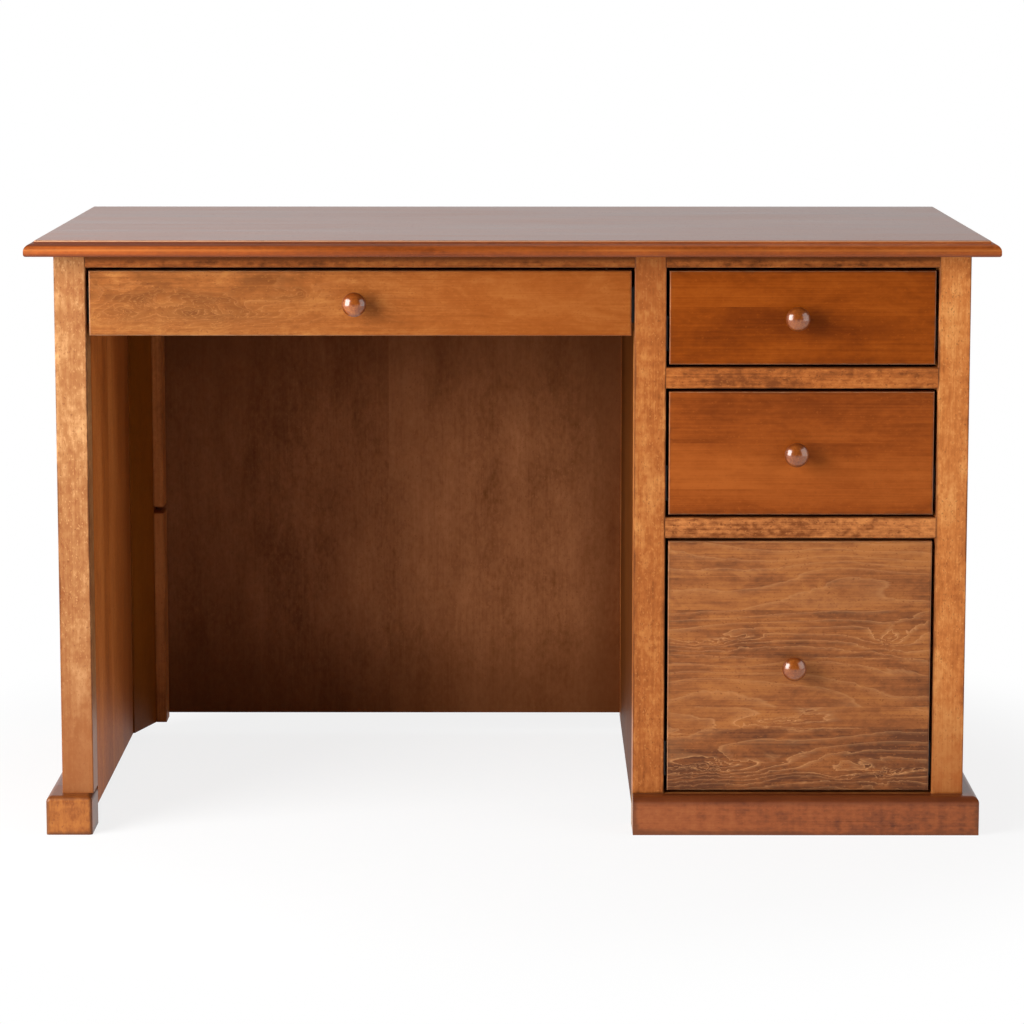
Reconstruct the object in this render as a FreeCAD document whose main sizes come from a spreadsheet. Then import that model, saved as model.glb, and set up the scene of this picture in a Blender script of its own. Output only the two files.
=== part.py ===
import FreeCAD, Part
import os
import re
import Sketcher

# Single-pedestal writing desk in solid wood: moulded top, panelled left end, kneehole with a pencil
# drawer, and a pedestal with three drawers on telescopic slides.
# Millimetres. Z is up, the floor is Z = 0, the drawers open towards -Y, the pedestal is at +X.
# The origin lies on the floor under the middle of the top.

SIZES = {
    # Whole desk
    "desk_width": 1220,
    "desk_depth": 610,
    "desk_height": 762,
    "pedestal_width": 423,
    # Top: a raised field, a narrow ledge round it and a quarter-round below
    "top_thickness": 20,
    "field_height": 4,
    "ledge_width": 2.5,
    "edge_round": 9.5,
    "nose_round": 4,
    "field_round": 1.5,
    "front_overhang": 33,
    "side_overhang": 33,
    "rear_overhang": 12,
    # Posts and rails
    "post_width": 40,
    "post_depth": 42,
    "rail_depth": 22,
    "top_rail_height": 16,
    "drawer_rail_height": 26.5,
    "bottom_rail_height": 22,
    "rear_rail_height": 60,
    "end_top_rail_height": 92,
    "end_bottom_rail_height": 60,
    "tenon_length": 12,
    "tenon_thickness": 8,
    "tenon_shoulder": 3,
    "edge_ease": 1.5,
    # Panels
    "end_skin_thickness": 8,
    "side_thickness": 19,
    "side_tongue_length": 8,
    "side_tongue_thickness": 8,
    "back_thickness": 12,
    "back_rebate": 8,
    "floor_thickness": 12,
    "floor_housing": 6,
    "panel_floor_gap": 26,
    "back_floor_gap": 32,
    # Base
    "base_height": 50,
    "base_thickness": 19,
    "base_round": 8,
    "foot_corner_round": 4,
    # Bevelled filler and cleats in the rear corner of the kneehole
    "filler_width": 25,
    "filler_bevel": 70,
    "filler_edge": 2,
    "cleat_width": 15,
    "cleat_depth": 38,
    "lower_cleat_top": 329,
    "cleat_gap": 10,
    "cleat_headroom": 45,
    # Drawer openings and fronts
    "top_opening": 126.5,
    "middle_opening": 165,
    "pencil_front_height": 82,
    "drawer_gap": 4,
    "front_thickness": 20,
    "front_ease": 2,
    # Drawer boxes
    "box_rise": 12,
    "box_drop": 20,
    "box_rear_space": 21,
    "box_side_thickness": 12,
    "box_housing": 6,
    "box_back_thickness": 12,
    "box_back_inset": 10,
    "bottom_thickness": 6,
    "bottom_rise": 8,
    "bottom_groove": 5,
    "joint_clearance": 0.1,
    # Telescopic slides
    "slide_height": 45,
    "slide_thickness": 12.7,
    "slide_steel": 1.2,
    "slide_clearance": 0.3,
    "slide_front_space": 2,
    "slide_rear_space": 8,
    "slide_lift": 2.5,
    # Knobs
    "knob_diameter": 31,
    "knob_projection": 27,
    "knob_rim_round": 6,
    "knob_rim_reach": 16.5,
    "knob_neck_diameter": 14,
    "knob_foot_diameter": 17,
    "knob_foot_height": 2,
    "knob_tenon_diameter": 10,
    "knob_tenon_length": 15,
    "knob_shift": -7,
    # Screws that hold the top
    "screw_diameter": 4.5,
    "screw_head_diameter": 9,
    "screw_head_height": 3.4,
    "screw_grip": 12,
    "screw_bite": 10,
    "screw_end_space": 70,
}

# Planes that the pieces share, each worked out from the sizes above
PLACES = {
    "left_plane": "side_overhang - desk_width / 2",
    "right_plane": "desk_width / 2 - side_overhang",
    "face_plane": "front_overhang - desk_depth / 2",
    "back_plane": "desk_depth / 2 - rear_overhang",
    "top_under": "desk_height - top_thickness",
    "slab_height": "top_thickness - field_height",
    "slab_round": "min(edge_round; slab_height * 0.6)",
    "slab_nose": "min(nose_round; slab_height * 0.2)",
    "field_inset": "slab_round + ledge_width",
    "post_back": "face_plane + post_depth",
    "rear_post_front": "back_plane - post_depth",
    "rail_back": "face_plane + rail_depth",
    "left_post_in": "left_plane + post_width",
    "outer_skin_in": "left_plane + end_skin_thickness",
    "inner_skin_out": "left_post_in - end_skin_thickness",
    "pedestal_plane": "right_plane - pedestal_width",
    "bay_left": "pedestal_plane + post_width",
    "bay_right": "right_plane - post_width",
    "left_side_in": "pedestal_plane + side_thickness",
    "right_side_in": "right_plane - side_thickness",
    "back_front": "back_plane - back_thickness",
    "rear_rail_front": "back_front - rail_depth",
    "rear_rail_low": "top_under - rear_rail_height",
    "floor_low": "base_height - floor_thickness",
    "base_front": "face_plane - base_thickness",
    "base_left": "left_plane - base_thickness",
    "base_right": "right_plane + base_thickness",
    "top_rail_low": "top_under - top_rail_height",
    "upper_rail_high": "top_rail_low - top_opening",
    "upper_rail_low": "upper_rail_high - drawer_rail_height",
    "lower_rail_high": "upper_rail_low - middle_opening",
    "lower_rail_low": "lower_rail_high - drawer_rail_height",
    "cleat_left": "left_post_in + filler_width",
    "cleat_right": "cleat_left + cleat_width",
    "cleat_front": "back_front - cleat_depth",
    "upper_cleat_low": "lower_cleat_top + cleat_gap",
    "upper_cleat_high": "top_rail_low - pencil_front_height - cleat_headroom",
    "front_back": "face_plane + front_thickness",
    "box_end": "rear_rail_front - box_rear_space",
    "slide_start": "front_back + slide_front_space",
    "slide_end": "box_end - slide_rear_space",
    "carriage_web": "slide_steel + slide_clearance",
    "carriage_reach": "slide_thickness - slide_steel - 2 * slide_clearance",
    "member_reach": "carriage_web + slide_steel + slide_clearance",
    "screw_shoulder": "top_under - screw_grip",
}

WORD = re.compile(r"[a-z][a-z_]*")

doc = FreeCAD.newDocument("pedestal_desk")
nodes = []


def sheet_formula(formula):
    """A formula for a cell of the Places sheet, which reads the Sizes sheet and its own cells."""
    def full_name(found):
        word = found.group(0)
        return "Sizes." + word if word in SIZES else word
    return "=" + WORD.sub(full_name, formula)


def object_formula(formula):
    """A formula for an object, which reads both sheets."""
    def full_name(found):
        word = found.group(0)
        if word in SIZES:
            return "Sizes." + word
        return "Places." + word if word in PLACES else word
    return WORD.sub(full_name, formula)


def make_sheet(name, cells):
    sheet = doc.addObject("Spreadsheet::Sheet", name)
    for row, (alias, content) in enumerate(cells.items(), start=1):
        sheet.set(f"A{row}", alias)
        sheet.set(f"B{row}", content)
        sheet.setAlias(f"B{row}", alias)
    return sheet


sizes_sheet = make_sheet("Sizes", {alias: str(size) for alias, size in SIZES.items()})
places_sheet = make_sheet("Places", {alias: sheet_formula(text) for alias, text in PLACES.items()})
doc.recompute()


def bind(target, path, formula):
    target.setExpression(path, object_formula(formula))


def value_of(formula):
    return float(places_sheet.evalExpression(object_formula(formula).replace("Places.", "")))


def length_between(span):
    low, high = span
    return f"({high}) - ({low})"


def place_at(target, corner):
    for axis, formula in zip("xyz", corner):
        bind(target, f"Placement.Base.{axis}", formula)


def new_body(label, corner):
    body = doc.addObject("PartDesign::Body", label)
    body.Label = label
    place_at(body, corner)
    return body


def add_box(body, kind, corner, spans):
    """A box feature over the given spans of the desk, in a body placed at the given corner."""
    box = body.newObject(f"PartDesign::{kind}Box", "Box")
    for side, span in zip(("Length", "Width", "Height"), spans):
        bind(box, side, length_between(span))
    place_at(box, [f"({span[0]}) - ({start})" for span, start in zip(spans, corner)])
    return box


def bore(body, corner, centre, radius, depth, along="z"):
    """A round hole that starts at the given point of the desk and runs along +Z or +Y."""
    hole = body.newObject("PartDesign::SubtractiveCylinder", "Hole")
    if along == "y":
        hole.Placement.Rotation = FreeCAD.Rotation(FreeCAD.Vector(1, 0, 0), -90)
    bind(hole, "Radius", radius)
    bind(hole, "Height", depth)
    place_at(hole, [f"({spot}) - ({start})" for spot, start in zip(centre, corner)])
    return hole


def edges_at(shape, limit, along):
    """Names of the straight edges in the limit plane of a shape that run along the given axes."""
    level = getattr(shape.BoundBox, limit)
    low_end, high_end = limit[0] + "Min", limit[0] + "Max"
    names = []
    for index, edge in enumerate(shape.Edges, start=1):
        box = edge.BoundBox
        in_plane = abs(getattr(box, low_end) - level) < 0.01 and abs(getattr(box, high_end) - level) < 0.01
        runs = [axis for axis in "XYZ" if getattr(box, axis + "Length") > 0.01]
        if in_plane and len(runs) == 1 and runs[0] in along:
            names.append(f"Edge{index}")
    return names


def round_edges(body, names, radius):
    base = body.Tip
    rounding = body.newObject("PartDesign::Fillet", "Rounding")
    rounding.Base = (base, names)
    bind(rounding, "Radius", radius)
    doc.recompute()


def round_base(body, limit, along):
    """Round the upper edge of a base piece where it lies in the given limit plane."""
    doc.recompute()
    upper = set(edges_at(body.Tip.Shape, "ZMax", along))
    outer = edges_at(body.Tip.Shape, limit, along)
    round_edges(body, [name for name in outer if name in upper], "base_round")


def board(label, x, y, z, adds=(), cuts=(), holes=(), rounds=()):
    """A board over the given spans, rounded first, then cut and given its tenons and holes."""
    corner = (x[0], y[0], z[0])
    body = new_body(label, corner)
    add_box(body, "Additive", corner, (x, y, z))
    for limit, along, radius in rounds:
        doc.recompute()
        round_edges(body, edges_at(body.Tip.Shape, limit, along), radius)
    for spans in adds:
        add_box(body, "Additive", corner, spans)
    for spans in cuts:
        add_box(body, "Subtractive", corner, spans)
    for centre, radius, depth, along in holes:
        bore(body, corner, centre, radius, depth, along)
    return body


def node(piece):
    nodes.append(piece)
    return piece


def group(label, pieces):
    """Several like pieces kept as separate solids under one name."""
    compound = doc.addObject("Part::Compound", label)
    compound.Label = label
    compound.Links = pieces
    return node(compound)


def new_sketch(body, role):
    sketch = body.newObject("Sketcher::SketchObject", "Outline")
    plane = next(item for item in body.Origin.OriginFeatures if item.Role == role)
    sketch.AttachmentSupport = [(plane, "")]
    sketch.MapMode = "FlatFace"
    return sketch


def pin(sketch, edge, end, spot):
    """Fix one end of a sketch edge at a point given by two formulas."""
    for kind, axis, formula in zip(("DistanceX", "DistanceY"), (-2, -1), spot):
        if formula == "0":
            sketch.addConstraint(Sketcher.Constraint("PointOnObject", edge, end, axis))
        elif formula:
            rule = Sketcher.Constraint(kind, -1, 1, edge, end, value_of(formula))
            index = sketch.addConstraint(rule)
            bind(sketch, f"Constraints[{index}]", formula)


def sketch_point(spot):
    return FreeCAD.Vector(value_of(spot[0]), value_of(spot[1]), 0)


def draw_outline(sketch, corners):
    """A closed outline of straight lines through corners given by formulas."""
    points = [sketch_point(spot) for spot in corners]
    count = len(points)
    for index in range(count):
        sketch.addGeometry(Part.LineSegment(points[index], points[(index + 1) % count]))
    for index in range(count):
        sketch.addConstraint(Sketcher.Constraint("Coincident", index, 2, (index + 1) % count, 1))
    for index, spot in enumerate(corners):
        pin(sketch, index, 1, spot)


def padded(label, corner, role, corners, length, reverse=False):
    body = new_body(label, corner)
    sketch = new_sketch(body, role)
    draw_outline(sketch, corners)
    pad = body.newObject("PartDesign::Pad", "Pad")
    pad.Profile = sketch
    pad.Reversed = reverse
    bind(pad, "Length", length)
    doc.recompute()
    return body


def revolved(body, sketch):
    turning = body.newObject("PartDesign::Revolution", "Turning")
    turning.Profile = sketch
    turning.ReferenceAxis = (sketch, ["V_Axis"])
    turning.Angle = 360
    doc.recompute()


# Joints

def end_tenons(x, y, z):
    """Stub tenons on both ends of a rail that runs along X, in the middle of its depth."""
    thickness = (f"(({y[0]}) + ({y[1]}) - tenon_thickness) / 2", f"(({y[0]}) + ({y[1]}) + tenon_thickness) / 2")
    left = (f"({x[0]}) - tenon_length", x[0])
    right = (x[1], f"({x[1]}) + tenon_length")
    return (left, thickness, z), (right, thickness, z)


def widened(span, amount):
    return f"({span[0]}) - ({amount})", f"({span[1]}) + ({amount})"


def mortise(tenon):
    """The hollow for a tenon, with the joint's clearance all round."""
    return tuple(widened(span, "joint_clearance") for span in tenon)


TOP_RAIL_TENON = ("top_rail_low + tenon_shoulder", "top_under")
RAIL_Y = ("face_plane", "rail_back")
BAY_X = ("bay_left", "bay_right")
KNEEHOLE_X = ("left_post_in", "pedestal_plane")
FULL_POST = ("base_height", "top_under")
END_Y = ("post_back", "rear_post_front")


def shouldered(low, high):
    return f"{low} + tenon_shoulder", f"{high} - tenon_shoulder"


kneehole_tenons = end_tenons(KNEEHOLE_X, RAIL_Y, TOP_RAIL_TENON)
bay_tenons = [
    end_tenons(BAY_X, RAIL_Y, TOP_RAIL_TENON),
    end_tenons(BAY_X, RAIL_Y, shouldered("upper_rail_low", "upper_rail_high")),
    end_tenons(BAY_X, RAIL_Y, shouldered("lower_rail_low", "lower_rail_high")),
]
BOTTOM_RAIL_LOW = "base_height - bottom_rail_height"
bottom_tenons = end_tenons(BAY_X, ("face_plane", "post_back"), shouldered(BOTTOM_RAIL_LOW, "base_height"))
rear_tenons = end_tenons(KNEEHOLE_X, ("rear_rail_front", "back_front"), shouldered("rear_rail_low", "top_under"))

# Rails of the left end run along Y between its posts
END_RAIL_X = ("outer_skin_in", "inner_skin_out")
END_TENON_X = (
    "(outer_skin_in + inner_skin_out - tenon_thickness) / 2",
    "(outer_skin_in + inner_skin_out + tenon_thickness) / 2",
)
END_RAIL_TOP_Z = ("top_under - end_top_rail_height", "top_under")
END_RAIL_BOTTOM_Z = ("panel_floor_gap", "panel_floor_gap + end_bottom_rail_height")
FRONT_END_Y = ("post_back - tenon_length", "post_back")
REAR_END_Y = ("rear_post_front", "rear_post_front + tenon_length")


def end_rail_tenons(y):
    top = (END_TENON_X, y, shouldered(*END_RAIL_TOP_Z))
    bottom = (END_TENON_X, y, ("base_height + tenon_shoulder", f"{END_RAIL_BOTTOM_Z[1]} - tenon_shoulder"))
    return top, bottom


# Tongues on the pedestal sides run into grooves in its posts
def side_tongues(x):
    thickness = (f"({x[0]} + {x[1]} - side_tongue_thickness) / 2", f"({x[0]} + {x[1]} + side_tongue_thickness) / 2")
    front = (thickness, ("post_back - side_tongue_length", "post_back"), FULL_POST)
    rear = (thickness, ("rear_post_front", "rear_post_front + side_tongue_length"), FULL_POST)
    return front, rear


LEFT_SIDE_X = ("pedestal_plane", "left_side_in")
RIGHT_SIDE_X = ("right_side_in", "right_plane")
left_tongues = side_tongues(LEFT_SIDE_X)
right_tongues = side_tongues(RIGHT_SIDE_X)

BACK_Y = ("back_front", "back_plane")
BACK_Z = ("back_floor_gap", "top_under")


def rebate(x):
    """The hollow for the edge of a back panel in a rear post, open at its back."""
    return x, BACK_Y, BACK_Z


# The top and the screws that hold it

def screw_row(first, last, count, across):
    """Evenly spaced screw places between two ends along X."""
    steps = [f"({first}) + (({last}) - ({first})) * {index} / {count - 1}" for index in range(count)]
    return [(along, across) for along in steps]


FRONT_SCREW_Y = "(face_plane + rail_back) / 2"
REAR_SCREW_Y = "(rear_rail_front + back_front) / 2"
kneehole_screws = screw_row("left_post_in + screw_end_space", "pedestal_plane - screw_end_space", 4, FRONT_SCREW_Y)
bay_screws = screw_row("bay_left + screw_end_space", "bay_right - screw_end_space", 2, FRONT_SCREW_Y)
rear_screws = screw_row("left_post_in + screw_end_space", "pedestal_plane - screw_end_space", 4, REAR_SCREW_Y)

SHANK_HOLE = "screw_diameter / 2 + joint_clearance"
HEAD_HOLE = "screw_head_diameter / 2 + joint_clearance"


def screw_holes(places, low):
    """Counterbored holes up through a rail whose underside is at the given level."""
    holes = []
    for along, across in places:
        holes.append(((along, across, low), HEAD_HOLE, f"screw_shoulder - ({low})", "z"))
        holes.append(((along, across, low), SHANK_HOLE, f"top_under - ({low})", "z"))
    return holes


def make_top():
    corner = ("-desk_width / 2", "-desk_depth / 2", "top_under")
    body = new_body("desk_top", corner)
    slab = (("-desk_width / 2", "desk_width / 2"), ("-desk_depth / 2", "desk_depth / 2"),
            ("top_under", "top_under + slab_height"))
    field = (("field_inset - desk_width / 2", "desk_width / 2 - field_inset"),
             ("field_inset - desk_depth / 2", "desk_depth / 2"),
             ("top_under + slab_height", "desk_height"))
    add_box(body, "Additive", corner, slab)
    doc.recompute()
    for limit, radius in (("ZMax", "slab_round"), ("ZMin", "slab_nose")):
        shape = body.Tip.Shape
        back = set(edges_at(shape, "YMax", "X"))
        names = [name for name in edges_at(shape, limit, "XY") if name not in back]
        round_edges(body, names, radius)
    add_box(body, "Additive", corner, field)
    doc.recompute()
    shape = body.Tip.Shape
    back = set(edges_at(shape, "YMax", "X"))
    names = [name for name in edges_at(shape, "ZMax", "XY") if name not in back]
    round_edges(body, names, "field_round")
    for along, across in kneehole_screws + bay_screws + rear_screws:
        bore(body, corner, (along, across, "top_under"), SHANK_HOLE, "screw_bite + joint_clearance")
    return body


def make_screw(label, along, across):
    body = new_body(label, (along, across, "screw_shoulder"))
    sketch = new_sketch(body, "XZ_Plane")
    draw_outline(sketch, [
        ("0", "-screw_head_height"),
        ("screw_head_diameter / 2", "-screw_head_height"),
        ("screw_head_diameter / 2", "0"),
        ("screw_diameter / 2", "0"),
        ("screw_diameter / 2", "screw_grip + screw_bite"),
        ("0", "screw_grip + screw_bite"),
    ])
    revolved(body, sketch)
    return body


node(make_top())
group("top_screws", [
    make_screw(f"top_screw_{index}", along, across)
    for index, (along, across) in enumerate(kneehole_screws + bay_screws + rear_screws, start=1)
])

# Left end

POST_EASE = [("YMin", "Z", "edge_ease")]
LEFT_POST_X = ("left_plane", "left_post_in")
REAR_POST_Y = ("rear_post_front", "back_plane")
END_Z = ("panel_floor_gap", "top_under")
node(board("left_front_post", LEFT_POST_X, ("face_plane", "post_back"), FULL_POST, rounds=POST_EASE,
           cuts=[mortise(kneehole_tenons[0])] + [mortise(tenon) for tenon in end_rail_tenons(FRONT_END_Y)]))
node(board("left_rear_post", LEFT_POST_X, REAR_POST_Y, END_Z,
           cuts=[mortise(rear_tenons[0]), rebate(("left_post_in - back_rebate", "left_post_in"))]
           + [mortise(tenon) for tenon in end_rail_tenons(REAR_END_Y)]))
node(board("left_outer_panel", ("left_plane", "outer_skin_in"), END_Y, END_Z))
node(board("left_inner_panel", ("inner_skin_out", "left_post_in"), END_Y, END_Z))
front_end_tenons = end_rail_tenons(FRONT_END_Y)
rear_end_tenons = end_rail_tenons(REAR_END_Y)
node(board("left_top_rail", END_RAIL_X, END_Y, END_RAIL_TOP_Z, adds=[front_end_tenons[0], rear_end_tenons[0]]))
node(board("left_bottom_rail", END_RAIL_X, END_Y, END_RAIL_BOTTOM_Z,
           adds=[front_end_tenons[1], rear_end_tenons[1]]))
BASE_Z = ("0", "base_height")
foot = board("left_front_foot", ("base_left", "left_post_in"), ("base_front", "post_back"), BASE_Z,
             rounds=[("YMin", "Z", "foot_corner_round")])
round_base(foot, "YMin", "X")
node(foot)
base_board = board("left_base_board", ("base_left", "left_plane"), ("post_back", "back_plane"), BASE_Z)
round_base(base_board, "XMin", "Y")
node(base_board)
node(padded("kneehole_corner_filler", ("left_post_in", "back_front", "panel_floor_gap"), "XY_Plane", [
    ("0", "0"),
    ("0", "-cleat_depth - filler_bevel"),
    ("filler_edge", "-cleat_depth - filler_bevel"),
    ("filler_width", "-cleat_depth"),
    ("filler_width", "0"),
], "upper_cleat_high - panel_floor_gap"))
CLEAT_X = ("cleat_left", "cleat_right")
CLEAT_Y = ("cleat_front", "back_front")
group("kneehole_corner_cleats", [
    board("lower_corner_cleat", CLEAT_X, CLEAT_Y, ("panel_floor_gap", "lower_cleat_top"), rounds=POST_EASE),
    board("upper_corner_cleat", CLEAT_X, CLEAT_Y, ("upper_cleat_low", "upper_cleat_high"), rounds=POST_EASE),
])

# Pedestal

LEFT_BAY_POST_X = ("pedestal_plane", "bay_left")
RIGHT_BAY_POST_X = ("bay_right", "right_plane")
node(board("pedestal_left_front_post", LEFT_BAY_POST_X, ("face_plane", "post_back"), FULL_POST, rounds=POST_EASE,
           cuts=[mortise(kneehole_tenons[1]), mortise(left_tongues[0])]
           + [mortise(pair[0]) for pair in bay_tenons]))
node(board("pedestal_right_front_post", RIGHT_BAY_POST_X, ("face_plane", "post_back"), FULL_POST, rounds=POST_EASE,
           cuts=[mortise(right_tongues[0])] + [mortise(pair[1]) for pair in bay_tenons]))
node(board("pedestal_left_rear_post", LEFT_BAY_POST_X, REAR_POST_Y, END_Z,
           cuts=[mortise(rear_tenons[1]), mortise(left_tongues[1]),
                 rebate(("pedestal_plane", "pedestal_plane + back_rebate")),
                 rebate(("bay_left - back_rebate", "bay_left"))]))
node(board("pedestal_right_rear_post", RIGHT_BAY_POST_X, REAR_POST_Y, END_Z,
           cuts=[mortise(right_tongues[1]), rebate(("bay_right", "bay_right + back_rebate"))]))
FLOOR_Z = ("floor_low", "base_height")
floor_groove_z = widened(FLOOR_Z, "joint_clearance")
node(board("pedestal_left_side", LEFT_SIDE_X, END_Y, END_Z, adds=left_tongues,
           cuts=[(("left_side_in - floor_housing", "left_side_in"), END_Y, floor_groove_z)]))
node(board("pedestal_right_side", RIGHT_SIDE_X, END_Y, END_Z, adds=right_tongues,
           cuts=[(("right_side_in", "right_side_in + floor_housing"), END_Y, floor_groove_z)]))
node(board("pedestal_floor_panel",
           ("left_side_in - floor_housing + joint_clearance", "right_side_in + floor_housing - joint_clearance"),
           END_Y, FLOOR_Z, adds=[(BAY_X, ("rear_post_front", "back_front"), FLOOR_Z)]))
node(board("pedestal_back_panel",
           ("bay_left - back_rebate + joint_clearance", "bay_right + back_rebate - joint_clearance"),
           BACK_Y, BACK_Z))
node(board("modesty_panel",
           ("left_post_in - back_rebate + joint_clearance", "pedestal_plane + back_rebate - joint_clearance"),
           BACK_Y, BACK_Z))
group("pedestal_foot_blocks", [
    board("left_foot_block", LEFT_BAY_POST_X, ("face_plane", "post_back"), BASE_Z, cuts=[mortise(bottom_tenons[0])]),
    board("right_foot_block", RIGHT_BAY_POST_X, ("face_plane", "post_back"), BASE_Z, cuts=[mortise(bottom_tenons[1])]),
    board("rear_foot_block", ("bay_left", "bay_left + post_width"), ("rear_post_front", "back_front"),
          ("0", "floor_low")),
])
RAIL_EASE = [("YMin", "X", "edge_ease")]
node(board("kneehole_top_rail", KNEEHOLE_X, RAIL_Y, ("top_rail_low", "top_under"), adds=kneehole_tenons,
           holes=screw_holes(kneehole_screws, "top_rail_low"), rounds=RAIL_EASE))
node(board("pedestal_top_rail", BAY_X, RAIL_Y, ("top_rail_low", "top_under"), adds=bay_tenons[0],
           holes=screw_holes(bay_screws, "top_rail_low"), rounds=RAIL_EASE))
node(board("upper_drawer_rail", BAY_X, RAIL_Y, ("upper_rail_low", "upper_rail_high"), adds=bay_tenons[1],
           rounds=RAIL_EASE))
node(board("lower_drawer_rail", BAY_X, RAIL_Y, ("lower_rail_low", "lower_rail_high"), adds=bay_tenons[2],
           rounds=RAIL_EASE))
node(board("pedestal_bottom_rail", BAY_X, ("face_plane", "post_back"), (BOTTOM_RAIL_LOW, "base_height"),
           adds=bottom_tenons))
node(board("rear_top_rail", KNEEHOLE_X, ("rear_rail_front", "back_front"), ("rear_rail_low", "top_under"),
           adds=rear_tenons, holes=screw_holes(rear_screws, "rear_rail_low")))

# Plinth round the pedestal, mitred at its front right corner
plinth_front = padded("plinth_front", ("base_right", "base_front", "0"), "XY_Plane", [
    ("pedestal_plane - base_right", "0"),
    ("0", "0"),
    ("-base_thickness", "base_thickness"),
    ("pedestal_plane - base_right", "base_thickness"),
], "base_height")
round_base(plinth_front, "YMin", "X")
node(plinth_front)
plinth_side = padded("plinth_side", ("base_right", "base_front", "0"), "XY_Plane", [
    ("0", "0"),
    ("0", "back_plane - base_front"),
    ("-base_thickness", "back_plane - base_front"),
    ("-base_thickness", "base_thickness"),
], "base_height")
round_base(plinth_side, "XMax", "Y")
node(plinth_side)

# Drawers: name, sides of the opening, lower and upper edge of the front

DRAWERS = [
    ("pencil_drawer", KNEEHOLE_X, ("top_rail_low - drawer_gap - pencil_front_height", "top_rail_low - drawer_gap")),
    ("top_drawer", BAY_X, ("upper_rail_high + drawer_gap", "top_rail_low - drawer_gap")),
    ("middle_drawer", BAY_X, ("lower_rail_high + drawer_gap", "upper_rail_low - drawer_gap")),
    ("file_drawer", BAY_X, ("base_height + drawer_gap", "lower_rail_low - drawer_gap")),
]


def slide_level(front_z):
    return f"({front_z[0]}) + box_rise + slide_lift + slide_height / 2"


def channel(label, wall, level, turned_round, web, reach, half_height):
    """One member of a slide: a steel channel along Y. The web stands nearer the wall, or nearer the
    drawer where the reach is the smaller of the two; the right-hand slide is turned round its length."""
    body = new_body(label, (wall, "slide_start", level))
    if turned_round:
        body.Placement.Rotation = FreeCAD.Rotation(FreeCAD.Vector(0, 1, 0), 180)
        place_at(body, (wall, "slide_start", level))
    inward = "+" if value_of(reach) > value_of(web) else "-"
    web_in = f"{web} {inward} slide_steel"
    flange_in = f"({half_height}) - slide_steel"
    sketch = new_sketch(body, "XZ_Plane")
    draw_outline(sketch, [
        (web, f"-({half_height})"),
        (reach, f"-({half_height})"),
        (reach, f"-({flange_in})"),
        (web_in, f"-({flange_in})"),
        (web_in, flange_in),
        (reach, flange_in),
        (reach, half_height),
        (web, half_height),
    ])
    pad = body.newObject("PartDesign::Pad", "Pad")
    pad.Profile = sketch
    pad.Reversed = True
    bind(pad, "Length", "slide_end - slide_start")
    doc.recompute()
    return body


def channel_pair(name, opening, level, web, reach, half_height):
    return [
        channel(f"{name}_left", opening[0], level, False, web, reach, half_height),
        channel(f"{name}_right", opening[1], level, True, web, reach, half_height),
    ]


def make_front(name, opening, front_z):
    x = (f"{opening[0]} + drawer_gap", f"{opening[1]} - drawer_gap")
    corner = (x[0], "face_plane", front_z[0])
    box_low = f"{front_z[0]} + box_rise"
    box_high = f"{front_z[1]} - box_drop"
    body = new_body(f"{name}_front", corner)
    add_box(body, "Additive", corner, (x, ("face_plane", "front_back"), front_z))
    doc.recompute()
    round_edges(body, edges_at(body.Tip.Shape, "YMin", "XZ"), "front_ease")
    housing_y = ("front_back - box_housing", "front_back")
    for side_x in box_side_spans(opening):
        housing_z = widened((box_low, box_high), "joint_clearance")
        add_box(body, "Subtractive", corner, (widened(side_x, "joint_clearance"), housing_y, housing_z))
    groove_z = widened(bottom_span(front_z), "joint_clearance")
    groove_x = (f"{opening[0]} + slide_thickness", f"{opening[1]} - slide_thickness")
    add_box(body, "Subtractive", corner, (groove_x, ("front_back - bottom_groove", "front_back"), groove_z))
    centre = knob_centre(opening, front_z)
    bore(body, corner, centre, "knob_tenon_diameter / 2 + joint_clearance", "knob_tenon_length + joint_clearance", "y")
    return body


def box_side_spans(opening):
    left = (f"{opening[0]} + slide_thickness", f"{opening[0]} + slide_thickness + box_side_thickness")
    right = (f"{opening[1]} - slide_thickness - box_side_thickness", f"{opening[1]} - slide_thickness")
    return left, right


def bottom_span(front_z):
    low = f"{front_z[0]} + box_rise + bottom_rise"
    return low, f"{low} + bottom_thickness"


def knob_centre(opening, front_z):
    return f"({opening[0]} + {opening[1]}) / 2 + knob_shift", "face_plane", f"({front_z[0]} + {front_z[1]}) / 2"


def make_sides(name, opening, front_z):
    box_z = (f"{front_z[0]} + box_rise", f"{front_z[1]} - box_drop")
    side_y = ("front_back - box_housing", "box_end")
    back_y = widened(back_span(), "joint_clearance")
    bottom_z = bottom_span(front_z)
    pair = []
    for hand, x in zip(("left", "right"), box_side_spans(opening)):
        if hand == "left":
            housing_x = (f"{x[1]} - bottom_groove", x[1])
        else:
            housing_x = (x[0], f"{x[0]} + bottom_groove")
        pair.append(board(f"{name}_{hand}_side", x, side_y, box_z, cuts=[
            (housing_x, side_y, widened(bottom_z, "joint_clearance")),
            (housing_x, back_y, (bottom_z[1], box_z[1])),
        ]))
    return pair


def back_span():
    return "box_end - box_back_inset - box_back_thickness", "box_end - box_back_inset"


def housed_span(opening):
    """The width of a drawer's bottom and back, which run into its sides."""
    left, right = box_side_spans(opening)
    return f"{left[1]} - bottom_groove + joint_clearance", f"{right[0]} + bottom_groove - joint_clearance"


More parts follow.
